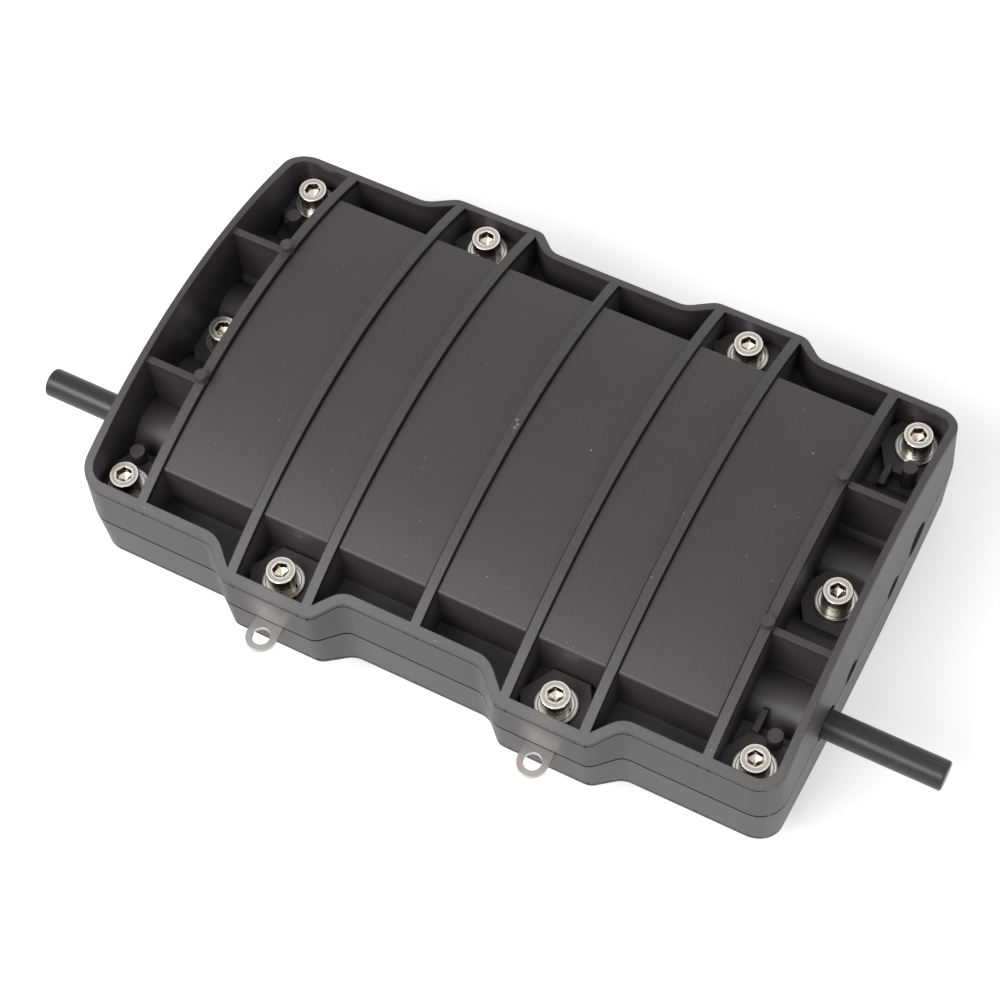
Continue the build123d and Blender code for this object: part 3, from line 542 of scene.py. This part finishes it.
def woven_strap(name):
    """Black woven tape, ribbed across."""
    g = Graph(name)
    length = g.math("ADD", g.axes["Y"], g.axes["Z"])
    weft = g.math("SINE", g.math("MULTIPLY", length, 2 * math.pi / WEFT_PITCH))
    warp = g.math("SINE", g.math("MULTIPLY", g.axes["X"], 2 * math.pi / WARP_PITCH))
    weave = g.weighted((g.product(weft, warp), 0.5), base=0.5)
    fuzz = g.noise(STRAP_FUZZ, detail=3.0, roughness=0.7)
    color = g.mix(g.weighted((weave, 0.5), (fuzz, 0.4)), STRAP_DARK, STRAP_LIGHT)
    g.bump(g.math("ADD", weave, g.math("MULTIPLY", fuzz, 0.3)), distance=0.00012, strength=0.7)
    return g.finish(Base_Color=color, Roughness=g.weighted((fuzz, 0.2), base=0.7))


def dress(material, *names):
    """Gives a material to CAD nodes, whole."""
    for name in names:
        mesh = nodes[name].data
        mesh.materials.clear()
        mesh.materials.append(material)


def dress_nodes():
    dress(shell_plastic("cover_plastic", 1, SCUFFS), "cover_shell")
    dress(shell_plastic("base_plastic", -1), "base_shell")
    dress(rod_plastic("rod_plastic"), "plug_rod_left", "plug_rod_right")
    dress(metal("screw_steel", STEEL, STEEL_DULL, turned=True, screws=True), "cover_screws")
    rust = (spot(*RUST_PLACE), RUST_RADIUS)
    dress(metal("washer_steel", STEEL, STEEL_DULL, rust=rust, turned=True), "spring_washers", "flat_washers")
    lug_finish = metal("lug_steel", LUG_STEEL, LUG_DULL, stretch=(1, 10, 1), smooth=0.24)
    dress(lug_finish, "hanging_lug_left", "hanging_lug_right")
    dress(metal("insert_brass", BRASS_LIGHT, BRASS_DARK), "threaded_inserts")
    zinc = metal("bracket_zinc", ZINC_LIGHT, ZINC_DARK, grain=ZINC_GRAIN, smooth=0.28)
    dress(zinc, "tray_bracket", "strength_posts", "strength_plates")
    small_zinc = metal("small_screw_zinc", ZINC_LIGHT, ZINC_DARK, smooth=0.2)
    dress(small_zinc, "clamp_screws", "bracket_screws", "strength_screws", "tray_hinge_pins")
    rubber = moulded("seal_rubber", RUBBER_LIGHT, RUBBER_DARK, smooth=0.55)
    dress(rubber, "side_gasket_front", "side_gasket_back", "end_seal_left", "end_seal_right")
    dress(moulded("clamp_plastic", SHELL_LIGHT, SHELL_DARK), "clamp_bar_left", "clamp_bar_right")
    dress(moulded("tray_plastic", TRAY_LIGHT, TRAY_DARK), "splice_tray_lower", "splice_tray_upper")
    dress(moulded("holder_plastic", HOLDER_LIGHT, HOLDER_DARK), "splice_holders")
    dress(clear_plastic("lid_plastic"), "tray_lid")
    dress(woven_strap("strap_weave"), "tray_strap")


def add_camera():
    camera = bpy.data.objects.new("camera", bpy.data.cameras.new("camera"))
    bpy.context.scene.collection.objects.link(camera)
    camera.data.lens = CAMERA_LENS
    camera.data.sensor_width = SENSOR
    forward = CAMERA_FORWARD.normalized()
    right = forward.cross(CAMERA_UP).normalized()
    up = right.cross(forward)
    turn = Matrix((right, up, -forward)).transposed()
    camera.matrix_world = Matrix.Translation(CAMERA_PLACE) @ turn.to_4x4()
    bpy.context.scene.camera = camera


def add_lamp(name, place, width, height, power):
    """A soft rectangular lamp that looks at the box."""
    lamp = bpy.data.objects.new(name, bpy.data.lights.new(name, "AREA"))
    bpy.context.scene.collection.objects.link(lamp)
    lamp.data.shape = "RECTANGLE"
    lamp.data.size = width
    lamp.data.size_y = height
    lamp.data.energy = power
    lamp.location = place
    lamp.rotation_euler = (Vector(LAMP_TARGET) - Vector(place)).to_track_quat("-Z", "Y").to_euler()


def seen_rays(tree):
    """1 for camera, glossy and transmission rays, in the nodes of a material or of the world."""
    path = tree.nodes.new("ShaderNodeLightPath").outputs
    seen = path["Is Camera Ray"]
    for other in ("Is Glossy Ray", "Is Transmission Ray"):
        either = tree.nodes.new("ShaderNodeMath")
        either.operation = "MAXIMUM"
        tree.links.new(seen, either.inputs[0])
        tree.links.new(path[other], either.inputs[1])
        seen = either.outputs[0]
    return seen


def add_floor():
    """A white floor that looks white to the camera and keeps the shadow of the box."""
    mesh = bpy.data.meshes.new("floor")
    corners = [(x * FLOOR_HALF, y * FLOOR_HALF, 0) for x, y in ((-1, -1), (1, -1), (1, 1), (-1, 1))]
    mesh.from_pydata(corners, [], [(0, 1, 2, 3)])
    floor = bpy.data.objects.new("floor", mesh)
    bpy.context.scene.collection.objects.link(floor)
    g = Graph("floor_white")
    glow = g.math("MULTIPLY", seen_rays(g.tree), FLOOR_GLOW)
    g.finish(Base_Color=FLOOR_PALE, Roughness=0.9, Emission_Color=WHITE, Emission_Strength=glow)
    mesh.materials.append(g.material)


def light_world():
    """A white surround for camera and reflections, and a softer one for the light it sheds."""
    world = bpy.data.worlds.new("world")
    bpy.context.scene.world = world
    world.use_nodes = True
    tree = world.node_tree
    level = tree.nodes.new("ShaderNodeMapRange")
    tree.links.new(seen_rays(tree), level.inputs["Value"])
    level.inputs["To Min"].default_value = WORLD_LIGHT
    level.inputs["To Max"].default_value = 1.0
    surround = tree.nodes["Background"]
    tree.links.new(level.outputs[0], surround.inputs["Strength"])
    surround.inputs["Color"].default_value = WHITE


dress_nodes()
add_camera()
for lamp_settings in LAMPS:
    add_lamp(*lamp_settings)
add_floor()
light_world()
bpy.context.scene.view_settings.view_transform = "Standard"
